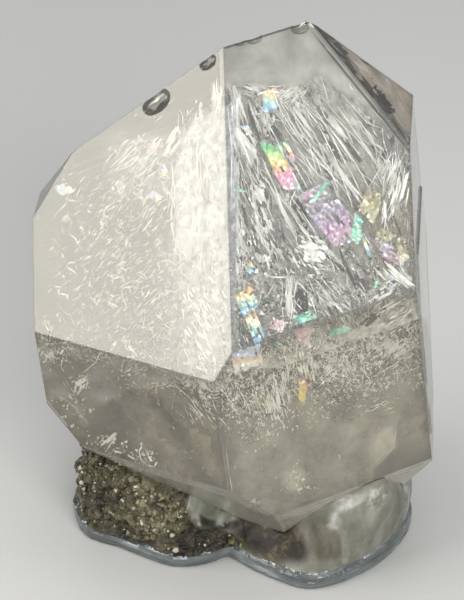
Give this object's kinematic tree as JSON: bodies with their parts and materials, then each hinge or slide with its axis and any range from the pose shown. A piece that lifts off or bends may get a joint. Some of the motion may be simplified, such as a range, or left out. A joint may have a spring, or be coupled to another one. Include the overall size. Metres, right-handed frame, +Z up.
{
  "type": "quartz crystal on a rough quartz base",
  "caption": "Clear, doubly terminated quartz crystal of Herkimer diamond habit, full of veils and fractures, leaning in a pocket of a rough quartz base covered in small points.",
  "frame": {"origin": "on the bottom plane that the base rests on, under the middle of the object's box", "axes": "+Z up, close to the crystal's long axis; -Y to the side that the picture shows; +X to the picture's right"},
  "size_m": [0.0478, 0.0458, 0.0629],
  "materials": {
    "clear_quartz": "polished natural faces",
    "base_quartz": "rough, sugary, partly clear"
  },
  "bodies": {
    "root": {"crystal": "clear_quartz", "base_stone": "base_quartz"}
  },
  "joints": []
}
